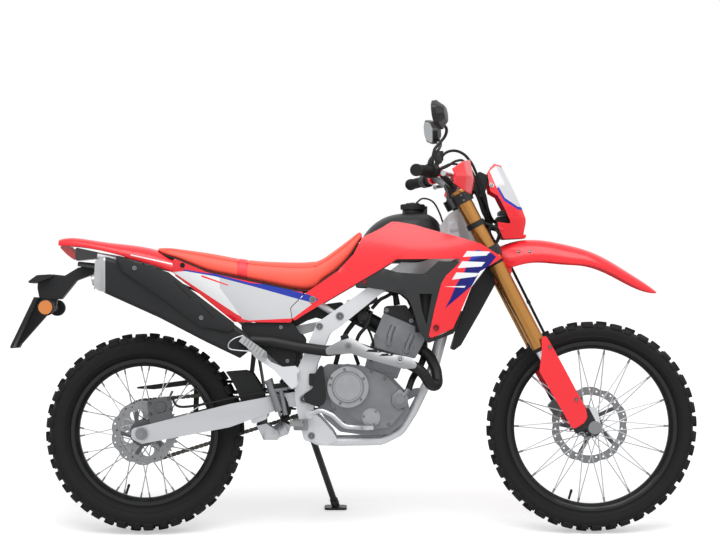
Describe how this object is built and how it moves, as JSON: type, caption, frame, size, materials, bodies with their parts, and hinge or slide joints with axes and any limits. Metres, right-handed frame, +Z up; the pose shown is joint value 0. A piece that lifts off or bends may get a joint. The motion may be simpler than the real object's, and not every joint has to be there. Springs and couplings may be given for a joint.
{
  "type": "dual sport motorcycle",
  "caption": "Single-cylinder dual sport motorcycle with long-travel fork, spoked wheels, high fender, side muffler and flat seat, parked leaning on its side stand.",
  "frame": {"origin": "on the floor, under the middle of the parked machine", "axes": "+X forward, +Y to the rider's left, +Z up; the machine leans to +Y on its side stand"},
  "size_m": [2.2406, 0.8197, 1.4262],
  "materials": {
    "frame_paint": "satin",
    "arm_metal": "satin",
    "dark_metal": "satin",
    "engine_metal": "matt",
    "shield_metal": "brushed",
    "dark_plastic": "textured",
    "red_plastic": "gloss",
    "white_plastic": "gloss",
    "seat_cover": "grained vinyl",
    "red_lens": "gloss",
    "amber_lens": "gloss",
    "chain_steel": "oiled",
    "peg_steel": "satin",
    "gold_anodised": "anodised",
    "slider_steel": "polished",
    "lamp_glass": "clear",
    "black_rubber": "matt",
    "tyre_rubber": "matt",
    "rim_black": "anodised",
    "hub_metal": "satin",
    "disc_steel": "ground"
  },
  "bodies": {
    "chassis": {"main_frame": "frame_paint", "swingarm": "arm_metal", "rear_suspension": "dark_metal", "crankcase": "engine_metal", "cylinder_head": "engine_metal", "exhaust_pipe": "dark_metal", "heat_shield": "shield_metal", "silencer": "dark_metal", "fuel_tank": "dark_plastic", "radiator": "engine_metal", "shrouds": "red_plastic", "tank_covers": "dark_plastic", "seat": "seat_cover", "side_panels": "white_plastic", "tail_cowl": "red_plastic", "tail_light": "red_lens", "rear_fender": "dark_plastic", "air_box": "dark_plastic", "plate_bracket": "dark_plastic", "rear_indicators": "amber_lens", "drive_chain": "chain_steel", "foot_pegs": "peg_steel", "foot_levers": "arm_metal", "rear_caliper": "engine_metal"},
    "steering": {"triple_clamps": "dark_metal", "fork_tubes": "gold_anodised", "fork_sliders": "slider_steel", "fork_guards": "red_plastic", "front_fender": "red_plastic", "headlight_mask": "red_plastic", "headlight": "lamp_glass", "handlebar": "dark_metal", "mirrors": "dark_plastic", "hand_guards": "red_plastic", "front_caliper": "engine_metal", "control_cables": "black_rubber"},
    "side_stand": {"side_stand": "dark_metal"},
    "front_wheel": {"front_tyre": "tyre_rubber", "front_rim": "rim_black", "front_hub": "hub_metal", "front_disc": "disc_steel"},
    "rear_wheel": {"rear_tyre": "tyre_rubber", "rear_rim": "rim_black", "rear_hub": "hub_metal", "rear_disc": "disc_steel"}
  },
  "joints": [
    {"name": "steering", "type": "hinge", "parent": "chassis", "child": "steering", "pos_m": [0.36968, -0.04344, 0.97591], "axis": [-0.4617, 0.154, 0.8735], "range_deg": [-45, 45]},
    {"name": "front_wheel_spin", "type": "hinge", "parent": "steering", "child": "front_wheel", "pos_m": [0.775, -0.15523, 0.3419], "axis": [0, 0.9848, -0.1736], "continuous": true},
    {"name": "rear_wheel_spin", "type": "hinge", "parent": "chassis", "child": "rear_wheel", "pos_m": [-0.69, -0.15856, 0.32298], "axis": [0, 0.9848, -0.1736], "continuous": true},
    {"name": "side_stand_fold", "type": "hinge", "parent": "chassis", "child": "side_stand", "pos_m": [-0.145, -0.027, 0.2744], "axis": [-0.1556, 0.9863, -0.0548], "range_deg": [0, 114.2]}
  ]
}
